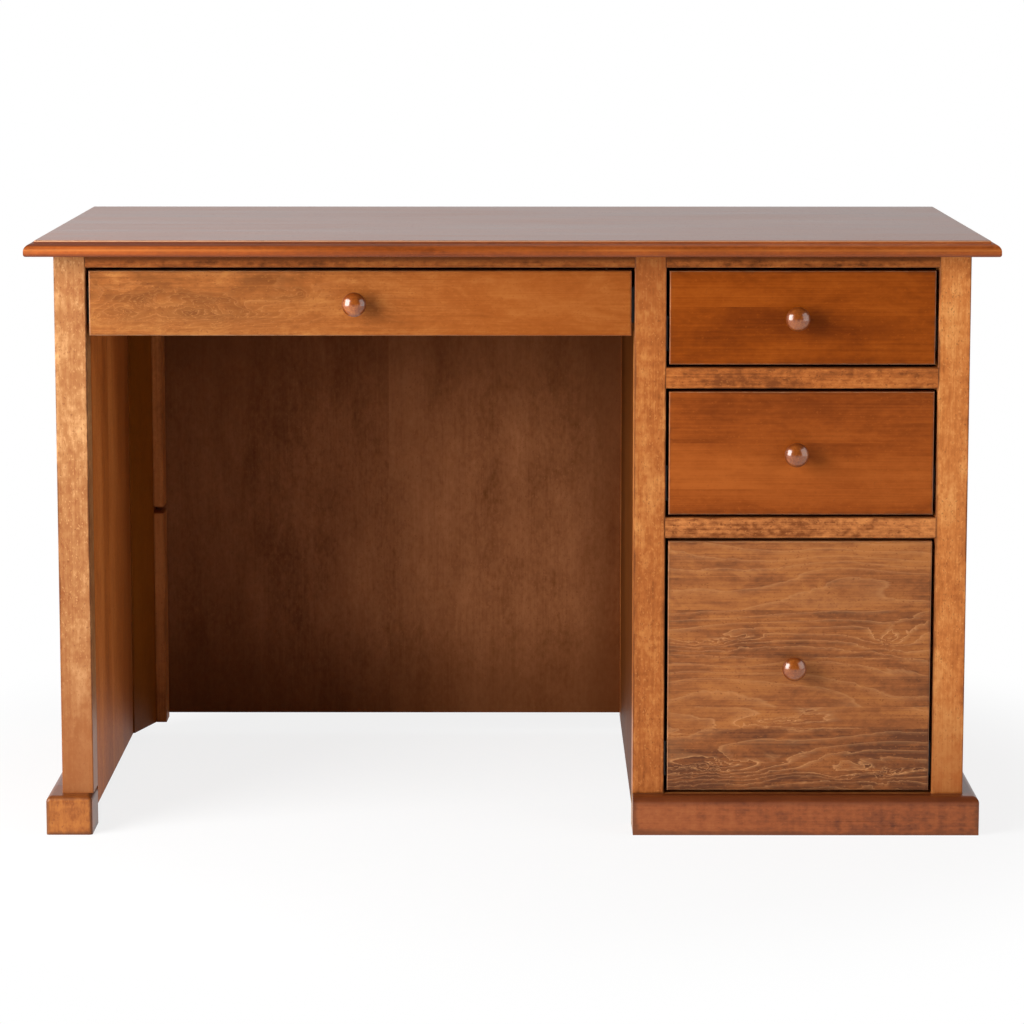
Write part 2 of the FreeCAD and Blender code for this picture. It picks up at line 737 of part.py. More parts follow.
def make_knob(name, opening, front_z):
    """A turned knob: tenon, foot, neck and a head whose rounded rim runs smoothly into a domed face."""
    body = new_body(f"{name}_knob", knob_centre(opening, front_z))
    sketch = new_sketch(body, "XY_Plane")
    rim = "(knob_diameter / 2 - knob_rim_round)"
    rise = "(knob_projection - knob_rim_reach)"
    dome = f"(({rim} * {rim} + {rise} * {rise} - knob_rim_round * knob_rim_round) / (2 * ({rise} - knob_rim_round)))"
    head_back = "knob_rim_round - knob_rim_reach"
    meet = (f"{rim} * {dome} / ({dome} - knob_rim_round)",
            f"-knob_rim_reach - knob_rim_round * ({rise} - {dome}) / (knob_rim_round - {dome})")
    corners = [
        ("0", "knob_tenon_length"),
        ("knob_tenon_diameter / 2", "knob_tenon_length"),
        ("knob_tenon_diameter / 2", "0"),
        ("knob_foot_diameter / 2", "0"),
        ("knob_foot_diameter / 2", "-knob_foot_height"),
        ("knob_neck_diameter / 2", "-knob_foot_height - (knob_foot_diameter - knob_neck_diameter) / 2"),
        ("knob_neck_diameter / 2", head_back),
        (rim, head_back),
    ]
    points = [sketch_point(spot) for spot in corners]
    for start, end in zip(points, points[1:]):
        sketch.addGeometry(Part.LineSegment(start, end))
    rim_centre = (rim, "-knob_rim_reach")
    dome_centre = ("0", f"{dome} - knob_projection")
    turn = sketch_point(meet)
    apex = sketch_point(("0", "-knob_projection"))
    side_spot = FreeCAD.Vector(value_of("knob_diameter / 2"), value_of("-knob_rim_reach"), 0)
    rim_arc = sketch.addGeometry(Part.Arc(points[-1], side_spot, turn))
    dome_middle = sketch_point(dome_centre) + (turn - sketch_point(dome_centre) + apex
                                               - sketch_point(dome_centre)).normalize() * value_of(dome)
    dome_arc = sketch.addGeometry(Part.Arc(turn, dome_middle, apex))
    axis_line = sketch.addGeometry(Part.LineSegment(apex, points[0]))
    for index in range(len(points) - 2):
        sketch.addConstraint(Sketcher.Constraint("Coincident", index, 2, index + 1, 1))
    last_line = len(points) - 2
    rim_start, rim_end = arc_ends(sketch, rim_arc, points[-1])
    dome_start, dome_end = arc_ends(sketch, dome_arc, turn)
    sketch.addConstraint(Sketcher.Constraint("Coincident", last_line, 2, rim_arc, rim_start))
    sketch.addConstraint(Sketcher.Constraint("Coincident", rim_arc, rim_end, dome_arc, dome_start))
    sketch.addConstraint(Sketcher.Constraint("Coincident", dome_arc, dome_end, axis_line, 1))
    sketch.addConstraint(Sketcher.Constraint("Coincident", axis_line, 2, 0, 1))
    for index, spot in enumerate(corners[:-1]):
        pin(sketch, index, 1, spot)
    pin(sketch, last_line, 2, corners[-1])
    pin(sketch, rim_arc, 3, rim_centre)
    pin(sketch, rim_arc, rim_end, (meet[0], ""))
    pin(sketch, dome_arc, 3, dome_centre)
    sketch.addConstraint(Sketcher.Constraint("PointOnObject", dome_arc, dome_end, -2))
    revolved(body, sketch)
    return body


def arc_ends(sketch, arc, start):
    """Which ends of a sketch arc count as its start and its end, given the wanted start point."""
    if sketch.getPoint(arc, 1).distanceToPoint(start) < 0.001:
        return 1, 2
    return 2, 1


packers = []
cabinet_members = []
for name, opening, front_z in DRAWERS:
    bottom_z = bottom_span(front_z)
    box_high = f"{front_z[1]} - box_drop"
    level = slide_level(front_z)
    node(make_front(name, opening, front_z))
    group(f"{name}_sides", make_sides(name, opening, front_z))
    node(board(f"{name}_back", housed_span(opening), back_span(), (bottom_z[1], box_high)))
    node(board(f"{name}_bottom", housed_span(opening), ("front_back - bottom_groove + joint_clearance", "box_end"),
               bottom_z))
    node(make_knob(name, opening, front_z))
    group(f"{name}_slide_members", channel_pair(
        f"{name}_member", opening, level, "slide_thickness", "member_reach",
        "slide_height / 2 - 2 * slide_steel - 2 * slide_clearance"))
    group(f"{name}_slide_carriages", channel_pair(
        f"{name}_carriage", opening, level, "carriage_web", "carriage_reach",
        "slide_height / 2 - slide_steel - slide_clearance"))
    cabinet_members += channel_pair(f"{name}_cabinet_member", opening, level, "0", "carriage_reach", "slide_height / 2")
    if opening == BAY_X:
        packer_z = (f"{level} - slide_height / 2", f"{level} + slide_height / 2")
        packer_y = ("post_back", "slide_end")
        packers.append(board(f"{name}_left_packer", ("left_side_in", "bay_left"), packer_y, packer_z))
        packers.append(board(f"{name}_right_packer", ("bay_right", "right_side_in"), packer_y, packer_z))

group("slide_packers", packers)
group("slide_cabinet_members", cabinet_members)

doc.recompute()

for item in doc.Objects:
    if "Invalid" in item.State or "Error" in item.State:
        raise RuntimeError(f"{item.Label} did not build: {item.State}")

os.makedirs("parts", exist_ok=True)
for piece in nodes:
    if piece.Shape.isNull() or not piece.Shape.isValid():
        raise RuntimeError(f"{piece.Label} has no valid shape")
    piece.Shape.exportStep(f"parts/{piece.Label}.step")
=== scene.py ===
"""Looks of a brown-stained pedestal desk: woods, steel, studio floor, lamps and the photograph's camera."""

import math

import bpy
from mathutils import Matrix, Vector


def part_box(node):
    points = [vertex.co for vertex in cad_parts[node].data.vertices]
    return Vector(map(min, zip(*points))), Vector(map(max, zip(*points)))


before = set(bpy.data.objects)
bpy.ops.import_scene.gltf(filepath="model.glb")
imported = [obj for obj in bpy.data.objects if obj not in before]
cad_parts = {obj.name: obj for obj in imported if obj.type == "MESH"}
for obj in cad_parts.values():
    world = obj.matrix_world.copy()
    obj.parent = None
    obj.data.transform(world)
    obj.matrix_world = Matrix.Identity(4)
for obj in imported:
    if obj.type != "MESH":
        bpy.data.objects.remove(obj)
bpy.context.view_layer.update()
scene = bpy.context.scene
scene.view_settings.view_transform = "Standard"


# Node trees

# The share of a fleck's radius inside its soft rim.
FLECK_CORE = 0.55

# A colour mix node's sockets by index: its factor, its two colours and its result.
MIX_FACTOR = 0
MIX_FIRST = 6
MIX_SECOND = 7
MIX_RESULT = 2


class Graph:
    """A node tree with short calls for the nodes that the looks use."""

    def __init__(self, tree):
        self.tree = tree
        tree.nodes.clear()

    def add(self, kind, **settings):
        made = self.tree.nodes.new(kind)
        for name, value in settings.items():
            setattr(made, name, value)
        return made

    def put(self, socket, value):
        """Links a socket's value, or sets a plain one."""
        if isinstance(value, bpy.types.NodeSocket):
            self.tree.links.new(value, socket)
        else:
            socket.default_value = value

    def math(self, operation, *values, clamp=False):
        made = self.add("ShaderNodeMath", operation=operation, use_clamp=clamp)
        for socket, value in zip(made.inputs, values):
            self.put(socket, value)
        return made.outputs[0]

    def total(self, *values):
        result = values[0]
        for value in values[1:]:
            result = self.math("ADD", result, value)
        return result

    def vector(self, operation, first, second):
        made = self.add("ShaderNodeVectorMath", operation=operation)
        self.put(made.inputs[0], first)
        self.put(made.inputs[1], second)
        return made.outputs[0]

    def split(self, vector):
        made = self.add("ShaderNodeSeparateXYZ")
        self.put(made.inputs[0], vector)
        return made.outputs[:]

    def join(self, *values):
        made = self.add("ShaderNodeCombineXYZ")
        for socket, value in zip(made.inputs, values):
            self.put(socket, value)
        return made.outputs[0]

    def noise(self, point, per_metre, detail=2.0, roughness=0.55, distortion=0.0):
        """Noise with its own count per metre along each of the point's axes, centred on zero."""
        made = self.add("ShaderNodeTexNoise")
        self.put(made.inputs["Vector"], self.vector("MULTIPLY", point, per_metre))
        made.inputs["Scale"].default_value = 1.0
        made.inputs["Detail"].default_value = detail
        made.inputs["Roughness"].default_value = roughness
        made.inputs["Distortion"].default_value = distortion
        return self.math("SUBTRACT", made.outputs[0], 0.5)

    def flecks(self, point, per_metre, size):
        """One small fleck in each cell: 1 within it and 0 outside, and a random number for the cell."""
        made = self.add("ShaderNodeTexVoronoi")
        self.put(made.inputs["Vector"], self.vector("MULTIPLY", point, per_metre))
        made.inputs["Scale"].default_value = 1.0
        within = self.band(made.outputs["Distance"], size * FLECK_CORE, size, 1.0, 0.0)
        return within, self.split(made.outputs["Color"])[0]

    def band(self, value, low, high, start=0.0, end=1.0, smooth=True):
        """A value's place between low and high, as a smooth step from start to end."""
        made = self.add("ShaderNodeMapRange", interpolation_type="SMOOTHSTEP" if smooth else "LINEAR")
        for name, given in zip(("Value", "From Min", "From Max", "To Min", "To Max"),
                               (value, low, high, start, end)):
            self.put(made.inputs[name], given)
        return made.outputs[0]

    def ramp(self, value, stops, interpolation="LINEAR"):
        made = self.add("ShaderNodeValToRGB")
        made.color_ramp.interpolation = interpolation
        elements = made.color_ramp.elements
        while len(elements) < len(stops):
            elements.new(0.5)
        for element, (place, colour) in zip(elements, stops):
            element.position = place
            element.color = (*colour, 1.0)
        self.put(made.inputs[0], value)
        return made.outputs[0]

    def mix(self, share, first, second):
        made = self.add("ShaderNodeMix", data_type="RGBA")
        for place, value in ((MIX_FACTOR, share), (MIX_FIRST, first), (MIX_SECOND, second)):
            if isinstance(value, tuple):
                value = (*value, 1.0)
            self.put(made.inputs[place], value)
        return made.outputs[MIX_RESULT]

    def bump(self, height, strength, distance):
        made = self.add("ShaderNodeBump")
        made.inputs["Strength"].default_value = strength
        made.inputs["Distance"].default_value = distance
        self.put(made.inputs["Height"], height)
        return made.outputs[0]

    def surface(self, colour, roughness, normal, **constants):
        shader = self.add("ShaderNodeBsdfPrincipled")
        self.put(shader.inputs["Base Color"], colour)
        self.put(shader.inputs["Roughness"], roughness)
        self.put(shader.inputs["Normal"], normal)
        for name, value in constants.items():
            shader.inputs[name.replace("_", " ")].default_value = value
        made = self.add("ShaderNodeOutputMaterial")
        self.put(made.inputs["Surface"], shader.outputs[0])


def new_material(name):
    material = bpy.data.materials.new(name)
    material.use_nodes = True
    return material, Graph(material.node_tree)


# Wood and steel

X = 0
Y = 1
Z = 2

# Which axis runs along the grain, across the face and into the board.
UPRIGHT = (Z, X, Y)
UPRIGHT_SIDE = (Z, Y, X)
LEVEL = (X, Z, Y)
LEVEL_SIDE = (Y, Z, X)
FLAT = (X, Y, Z)
FLAT_SIDE = (Y, X, Z)

# What every wood starts from: linear colours, widths in metres, counts per metre, and otherwise shares.
WOOD = {
    "axes": LEVEL,
    "light": (0.60, 0.22, 0.06),
    "mid": (0.42, 0.125, 0.03),
    "dark": (0.22, 0.055, 0.012),
    "speck": (0.14, 0.035, 0.009),
    "line": (0.30, 0.085, 0.018),
    # The colour of painted highlights along edges and on the moulding's arris.
    "edge_highlight_colour": (0.62, 0.36, 0.20),
    # The colour of darker edges, and of the painted shade in the moulding.
    "dark_edges_and_painted_shade": (0.10, 0.028, 0.007),
    "stain": 0.7,
    "ring": 0.0,
    "ring_count": 70.0,
    "eye_ring": 0.5,
    "eye_shade": 0.0,
    "streak": 0.45,
    "blotch": 0.5,
    "mottle": 0.3,
    "curl": 0.0,
    "specks": 0.4,
    "speck_share": 0.12,
    "rays": 0.35,
    "ray_share": 0.12,
    "edge": 0.45,
    "edge_width": 0.0035,
    "edge_rag": 2.5,
    # The share of the painted highlight along the edges.
    "edge_highlight": 0.0,
    "seams": (),
    "shades": (0.15, 0.85, 0.4, 1.0, 0.0, 0.65),
    "board_tone": 0.2,
    "eyes": (),
    "quirk": (),
    # The colour of the painted highlight along the moulding's nose.
    "nose_highlight": (0.52, 0.165, 0.035),
    # Painted shade gradients, and on the pencil drawer front a redder tone.
    "painted_shade_and_tone_fades": (),
    "fade": None,
    "gloss": 0.36,
    "shine": 0.14,
}

# Noise in a wood, per metre along the grain, across the face and into the board.
STAIN_PER_METRE = (2.6, 11.0, 11.0)
STREAK_PER_METRE = (5.0, 380.0, 380.0)
BLOTCH_PER_METRE = (14.0, 38.0, 38.0)
MOTTLE_PER_METRE = (110.0, 170.0, 170.0)
CURL_PER_METRE = (75.0, 8.0, 8.0)
FLECKS_PER_METRE = (260.0, 620.0, 620.0)
FLECK_SIZE = 0.46

# How far a node's seed, and a glued board's shade, move the grain, in metres.
SEED_STEP = (1.37, 0.71, 0.53)
BOARD_STEP_ALONG = 3.7
BOARD_STEP_INWARD = 1.9

# Places of the dark, middle and light colours on the tone, and the shade of a board without seams.
TONE_DARK = 0.26
TONE_MID = 0.5
TONE_LIGHT = 0.74
MEAN_SHADE = 0.5

# How blotches and edges crowd the flecks, and how far, in metres, noise bends their rows.
CROWD_BLOTCH = 1.6
CROWD_EDGE = 0.25
BEND_BLOTCH = 0.02
BEND_MOTTLE = 0.008

# Painted highlights along the edges, in metres from the edge.
EDGE_HIGHLIGHT_RAG = 0.0012
EDGE_HIGHLIGHT_FULL = 0.0004
EDGE_HIGHLIGHT_END = 0.0014

# What the grain adds to the roughness, and its bump.
GLOSS_STREAK = 0.10
GLOSS_STAIN = 0.10
GLOSS_PORES = 0.08
GRAIN_BUMP = 0.08
GRAIN_HEIGHT = 0.0004

# Growth rings: their wandering, how blotches bend them and the eyes, and a ring's profile.
RING_WANDER_PER_METRE = (2.0, 8.0, 8.0)
RING_WANDER = 12.0
RING_BLOTCH = 0.9
EYE_RUN_BLOTCH = 2.0
EYE_RISE_BLOTCH = 3.4
EYE_FALL = -1.1
RING_PROFILE = ((0.0, 0.0), (0.5, 0.0), (0.82, 0.4), (0.9, 1.0), (0.95, 0.0))

# The moulding's bands, in metres above or below its step.
STEP_SOFT = 0.0004
ARRIS_FROM = 0.0002
ARRIS_TO = 0.0012
ARRIS_SOFT = 0.0003
FIELD_FROM = 0.0010
FIELD_TO = 0.0015
NOSE_FROM = 0.0060
NOSE_TO = 0.0035
NOSE_SOFT = 0.0012
UNDER_FULL = 0.0125
UNDER_END = 0.0075

# The moulding's colours and its painted light and shade: shares, and for three bands a start and end in x with
# a share at each, strongest to the left.
NOSE_HIGHLIGHT_SHARE = 0.35
NOSE_HIGHLIGHT_STAIN = 2.2
PATCH_BLOTCH_FROM = -0.12
PATCH_BLOTCH_TO = 0.16
PATCH_SHARE = 0.55
STEP_PAINTED_SHADE = (-0.55, 0.4, 1.0, 0.0)
UNDER_PAINTED_SHADE = (-0.6, -0.1, 1.0, 0.55)
ARRIS_HIGHLIGHT = (-0.6, -0.1, 0.95, 0.7)
PAINTED_SHADE_SHARE = 0.95
FIELD_SHADE_SHARE = 0.5
STEP_ROUGHNESS = 0.25


def board_shade(g, across, low, high, seams, shades):
    """A value between 0 and 1 that is the same over each glued board and differs between boards."""
    starts = (low, *seams)
    stops = [((start - low) / (high - low), (shade,) * 3) for start, shade in zip(starts, shades)]
    return g.ramp(g.band(across, low, high, smooth=False), stops, "CONSTANT")


def edge_distance(g, xyz, low, high):
    """How far a point of a board's surface is from its nearest edge.

    This is the middle one of its distances from the nearest faces along x, y and z.
    """
    depths = []
    for value, start, end in zip(xyz, low, high):
        offset = g.math("ABSOLUTE", g.math("SUBTRACT", value, (start + end) / 2))
        depths.append(g.math("SUBTRACT", (end - start) / 2, offset))
    first, second, third = depths
    lower = g.math("MINIMUM", first, second)
    upper = g.math("MAXIMUM", first, second)
    return g.math("MAXIMUM", lower, g.math("MINIMUM", upper, third))


def growth_rings(g, look, run_place, across, place, blotch):
    """Thin lines of the growth rings, closed round each eye of the figure, and the nearness of an eye."""
    wander = g.noise(place, RING_WANDER_PER_METRE)
    phase = g.total(g.math("MULTIPLY", across, look["ring_count"]), g.math("MULTIPLY", wander, RING_WANDER),
                    g.math("MULTIPLY", blotch, RING_BLOTCH))
    figure = 0.0
    for centre_along, centre_across, half_length, half_width, rings in look["eyes"]:
        run = g.math("DIVIDE", g.math("SUBTRACT", run_place, centre_along), half_length)
        rise = g.math("DIVIDE", g.math("SUBTRACT", across, centre_across), half_width)
        run = g.math("ADD", run, g.math("MULTIPLY", blotch, EYE_RUN_BLOTCH))
        rise = g.math("ADD", rise, g.math("MULTIPLY", blotch, EYE_RISE_BLOTCH))
        reach = g.math("SQRT", g.total(g.math("MULTIPLY", run, run), g.math("MULTIPLY", rise, rise)))
        swell = g.math("EXPONENT", g.math("MULTIPLY", reach, EYE_FALL))
        phase = g.math("ADD", phase, g.math("MULTIPLY", swell, rings))
        figure = g.math("ADD", figure, swell)
    line = g.ramp(g.math("FRACT", phase), [(start, (height,) * 3) for start, height in RING_PROFILE])
    return line, figure


def between(g, value, low, high, soft):
    """1 between two heights and 0 outside, with a soft step at each."""
    rising = g.band(value, low - soft, low + soft)
    falling = g.band(value, high - soft, high + soft, 1.0, 0.0)
    return g.math("MULTIPLY", rising, falling)


def paint_moulding_light_and_shade(g, look, x, z, stain, blotch, colour, gloss):
    """The moulding: darker patches below its step, painted highlights along its nose and on its arris, and
    painted shade in its step, under its nose and over the field.
    """
    low, high = look["quirk"]
    step = between(g, z, low, high, STEP_SOFT)
    arris_highlight = between(g, z, high + ARRIS_FROM, high + ARRIS_TO, ARRIS_SOFT)
    field_shade = g.band(z, high + FIELD_FROM, high + FIELD_TO)
    nose_highlight = between(g, z, low - NOSE_FROM, low - NOSE_TO, NOSE_SOFT)
    under = g.band(z, low - UNDER_FULL, low - UNDER_END, 1.0, 0.0)
    broken_highlight = g.math("ADD", NOSE_HIGHLIGHT_SHARE, g.math("MULTIPLY", stain, NOSE_HIGHLIGHT_STAIN), clamp=True)
    below = g.band(z, low - STEP_SOFT, low, 1.0, 0.0)
    blotched = g.band(blotch, PATCH_BLOTCH_FROM, PATCH_BLOTCH_TO, 0.0, PATCH_SHARE)
    colour = g.mix(g.math("MULTIPLY", below, blotched), colour, look["dark"])
    # Painted highlight along the nose, broken up by the stain.
    colour = g.mix(g.math("MULTIPLY", nose_highlight, broken_highlight), colour, look["nose_highlight"])
    # Painted shade in the step and under the nose, stronger to the left.
    painted_shade = g.math("MAXIMUM", g.math("MULTIPLY", step, g.band(x, *STEP_PAINTED_SHADE)),
                    g.math("MULTIPLY", under, g.band(x, *UNDER_PAINTED_SHADE)))
    colour = g.mix(g.math("MULTIPLY", painted_shade, PAINTED_SHADE_SHARE), colour, look["dark_edges_and_painted_shade"])
    # Painted highlight on the arris, stronger to the left.
    colour = g.mix(g.math("MULTIPLY", arris_highlight, g.band(x, *ARRIS_HIGHLIGHT)), colour, look["edge_highlight_colour"])
    # Painted shade over the top's field.
    colour = g.mix(g.math("MULTIPLY", field_shade, FIELD_SHADE_SHARE), colour, look["dark"])
    return colour, g.math("ADD", gloss, g.math("MULTIPLY", step, STEP_ROUGHNESS))


def wood(node, seed, **changes):
    """A stained and lacquered wood for one CAD node."""
    look = {**WOOD, **changes}
    low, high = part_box(node)
    material, g = new_material("wood." + node)
    xyz = g.split(g.add("ShaderNodeTexCoord").outputs["Object"])
    along, across, inward = (xyz[axis] for axis in look["axes"])
    across_axis = look["axes"][1]

    shade = MEAN_SHADE
    if look["seams"]:
        shade = board_shade(g, across, low[across_axis], high[across_axis], look["seams"], look["shades"])
        along = g.math("ADD", along, g.math("MULTIPLY", shade, BOARD_STEP_ALONG))
        inward = g.math("ADD", inward, g.math("MULTIPLY", shade, BOARD_STEP_INWARD))
    place = g.vector("ADD", g.join(along, across, inward), tuple(seed * step for step in SEED_STEP))

    stain = g.noise(place, STAIN_PER_METRE)
    streak = g.noise(place, STREAK_PER_METRE, detail=3.0, roughness=0.65)
    blotch = g.noise(place, BLOTCH_PER_METRE, detail=4.0, roughness=0.62, distortion=0.8)
    mottle = g.noise(place, MOTTLE_PER_METRE, detail=2.0, roughness=0.65)
    parts = [(stain, "stain"), (streak, "streak"), (blotch, "blotch"), (mottle, "mottle")]
    if look["curl"]:
        parts.append((g.noise(place, CURL_PER_METRE), "curl"))
    tone = g.total(TONE_MID, g.math("MULTIPLY", g.math("SUBTRACT", shade, MEAN_SHADE), look["board_tone"]),
                   *(g.math("MULTIPLY", part, look[share]) for part, share in parts))
    colour = g.ramp(tone, [(TONE_DARK, look["dark"]), (TONE_MID, look["mid"]), (TONE_LIGHT, look["light"])])
    if look["ring"]:
        line, figure = growth_rings(g, look, xyz[look["axes"][0]], across, place, blotch)
        colour = g.mix(g.math("MULTIPLY", figure, look["eye_shade"], clamp=True), colour, look["dark"])
        share = g.math("ADD", look["ring"], g.math("MULTIPLY", figure, look["eye_ring"]), clamp=True)
        colour = g.mix(g.math("MULTIPLY", line, share), colour, look["line"])

    away = edge_distance(g, xyz, low, high)
    ragged = g.math("ADD", away, g.math("MULTIPLY", blotch, look["edge_width"] * look["edge_rag"]))
    edge = g.band(ragged, 0.0, look["edge_width"], 1.0, 0.0)
    crowd = g.total(look["speck_share"], g.math("MULTIPLY", blotch, CROWD_BLOTCH),
                    g.math("MULTIPLY", edge, CROWD_EDGE))
    bend = g.join(g.math("MULTIPLY", blotch, BEND_BLOTCH), g.math("MULTIPLY", mottle, BEND_MOTTLE), 0.0)
    fleck, chance = g.flecks(g.vector("ADD", place, bend), FLECKS_PER_METRE, FLECK_SIZE)
    pores = g.math("MULTIPLY", fleck, g.math("LESS_THAN", chance, crowd))
    rays = g.math("MULTIPLY", fleck, g.math("GREATER_THAN", chance, 1.0 - look["ray_share"]))
    colour = g.mix(g.math("MULTIPLY", pores, look["specks"]), colour, look["speck"])
    colour = g.mix(g.math("MULTIPLY", rays, look["rays"]), colour, look["light"])

    # Darker along each board's edges.
    colour = g.mix(g.math("MULTIPLY", edge, look["edge"]), colour, look["dark_edges_and_painted_shade"])
    # Painted highlight: a lighter line along the edges.
    if look["edge_highlight"]:
        highlight_reach = g.math("ADD", away, g.math("MULTIPLY", mottle, EDGE_HIGHLIGHT_RAG))
        highlighted = g.band(highlight_reach, EDGE_HIGHLIGHT_FULL, EDGE_HIGHLIGHT_END, 1.0, 0.0)
        colour = g.mix(g.math("MULTIPLY", highlighted, look["edge_highlight"]), colour, look["edge_highlight_colour"])
    # Each fade mixes its colour in along an axis: painted shade, and on the pencil drawer front a redder,
    # darker tone towards the right.
    for axis, start, end, share in look["painted_shade_and_tone_fades"]:
        colour = g.mix(g.band(xyz[axis], start, end, 0.0, share), colour, look["fade"] or look["dark"])
    gloss = g.total(look["gloss"], g.math("MULTIPLY", streak, GLOSS_STREAK),
                    g.math("MULTIPLY", stain, GLOSS_STAIN), g.math("MULTIPLY", pores, GLOSS_PORES))
    if look["quirk"]:
        colour, gloss = paint_moulding_light_and_shade(g, look, xyz[X], xyz[Z], stain, blotch, colour, gloss)
    g.surface(colour, gloss, g.bump(streak, GRAIN_BUMP, GRAIN_HEIGHT), Specular_IOR_Level=look["shine"])
    return material


# Knobs: noise per metre, shares of the tone, and radii in metres; the rim colour is painted shade.
KNOB_SEED_STEP = (1.1, 0.6, 0.9)
KNOB_CLOUD_PER_METRE = (60.0, 25.0, 60.0)
KNOB_FIBRE_PER_METRE = (420.0, 60.0, 420.0)
KNOB_RINGS = 2600.0
KNOB_RING_WANDER = 9.0
KNOB_TONE = 0.5
KNOB_TONE_CLOUD = 0.8
KNOB_TONE_FIBRE = 0.5
KNOB_TONE_RING = 0.02
KNOB_COLOURS = ((0.2, (0.10, 0.022, 0.003)), (0.5, (0.25, 0.056, 0.005)), (0.8, (0.40, 0.12, 0.016)))
KNOB_HEART_COLOUR = (0.10, 0.022, 0.006)
KNOB_HEART_SHARE = 0.5
KNOB_HEART_RAG = 0.004
KNOB_HEART_FULL = 0.0006
KNOB_HEART_END = 0.0028
KNOB_RIM_PAINTED_SHADE = (0.10, 0.016, 0.003)
KNOB_RIM_SHADE_SHARE = 0.7
KNOB_RIM = 0.0115
KNOB_GLOSS = 0.3
KNOB_GLOSS_FIBRE = 0.10
KNOB_BUMP = 0.04
KNOB_HEIGHT = 0.0003


def turned_wood(node, seed):
    """A turned and polished knob: rings round its axis, end grain at its middle, and painted shade round its
    rim.
    """
    low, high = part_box(node)
    material, g = new_material("wood." + node)
    x, y, z = g.split(g.add("ShaderNodeTexCoord").outputs["Object"])
    side = g.math("SUBTRACT", x, (low.x + high.x) / 2)
    rise = g.math("SUBTRACT", z, (low.z + high.z) / 2)
    radius = g.math("SQRT", g.math("ADD", g.math("MULTIPLY", side, side), g.math("MULTIPLY", rise, rise)))
    place = g.vector("ADD", g.join(side, y, rise), tuple(seed * step for step in KNOB_SEED_STEP))
    cloud = g.noise(place, KNOB_CLOUD_PER_METRE, detail=3.0)
    fibre = g.noise(place, KNOB_FIBRE_PER_METRE, detail=2.0)
    phase = g.math("ADD", g.math("MULTIPLY", radius, KNOB_RINGS), g.math("MULTIPLY", cloud, KNOB_RING_WANDER))
    ring = g.math("SINE", phase)
    tone = g.total(KNOB_TONE, g.math("MULTIPLY", cloud, KNOB_TONE_CLOUD),
                   g.math("MULTIPLY", fibre, KNOB_TONE_FIBRE), g.math("MULTIPLY", ring, KNOB_TONE_RING))
    colour = g.ramp(tone, KNOB_COLOURS)
    ragged = g.math("ADD", radius, g.math("MULTIPLY", cloud, KNOB_HEART_RAG))
    heart = g.band(ragged, KNOB_HEART_FULL, KNOB_HEART_END, 1.0, 0.0)
    colour = g.mix(g.math("MULTIPLY", heart, KNOB_HEART_SHARE), colour, KNOB_HEART_COLOUR)
    gloss = g.math("ADD", KNOB_GLOSS, g.math("MULTIPLY", fibre, KNOB_GLOSS_FIBRE))
    # Painted shade round the knob's rim.
    rim_shade = g.band(radius, KNOB_RIM, (high.x - low.x) / 2)
    colour = g.mix(g.math("MULTIPLY", rim_shade, KNOB_RIM_SHADE_SHARE), colour, KNOB_RIM_PAINTED_SHADE)
    g.surface(colour, gloss, g.bump(fibre, KNOB_BUMP, KNOB_HEIGHT), Specular_IOR_Level=0.15,
              Coat_Weight=1.0, Coat_Roughness=0.14, Coat_IOR=1.6)
    return material


# Steel: noise per metre, and shares of the tone and the roughness.
STEEL_CLOUD_PER_METRE = (90.0, 40.0, 90.0)
STEEL_ROLLED_PER_METRE = (900.0, 12.0, 900.0)
STEEL_TONE = 0.5
STEEL_TONE_CLOUD = 0.8
STEEL_TONE_ROLLED = 0.5
STEEL_TONE_LOW = 0.2
STEEL_TONE_HIGH = 0.8
STEEL_SHADE = 0.72
STEEL_GLOSS_CLOUD = 0.16
STEEL_GLOSS_ROLLED = 0.12
STEEL_BUMP = 0.06
STEEL_HEIGHT = 0.0002


def plated_steel(name, tint, roughness):
    """Plated pressed steel: faint rolling lines along the part and a cloudy plating."""
    material, g = new_material(name)
    point = g.add("ShaderNodeTexCoord").outputs["Object"]
    cloud = g.noise(point, STEEL_CLOUD_PER_METRE, detail=3.0)
    rolled = g.noise(point, STEEL_ROLLED_PER_METRE, detail=2.0)
    tone = g.total(STEEL_TONE, g.math("MULTIPLY", cloud, STEEL_TONE_CLOUD),
                   g.math("MULTIPLY", rolled, STEEL_TONE_ROLLED))
    shaded = tuple(STEEL_SHADE * part for part in tint)
    colour = g.ramp(tone, [(STEEL_TONE_LOW, shaded), (STEEL_TONE_HIGH, tint)])
    gloss = g.total(roughness, g.math("MULTIPLY", cloud, STEEL_GLOSS_CLOUD),
                    g.math("MULTIPLY", rolled, STEEL_GLOSS_ROLLED))
    g.surface(colour, gloss, g.bump(rolled, STEEL_BUMP, STEEL_HEIGHT), Metallic=1.0)
    return material


# Looks of the nodes

# Seams are the places where glued boards meet. A fade has an axis, its start, its end and its share; fades are
# painted shade, except on the pencil drawer front, where the fade is a redder tone.
# An eye has its places along and across the grain, its half length and width, and its rings.
GOLDEN = {
    "light": (0.68, 0.275, 0.074), "mid": (0.49, 0.146, 0.030), "dark": (0.29, 0.073, 0.013),
    "specks": 0.45, "speck_share": 0.15, "streak": 0.35, "blotch": 0.6, "mottle": 0.45, "curl": 0.25,
    "edge": 0.75, "rays": 0.5, "ray_share": 0.2, "edge_width": 0.0026,
}
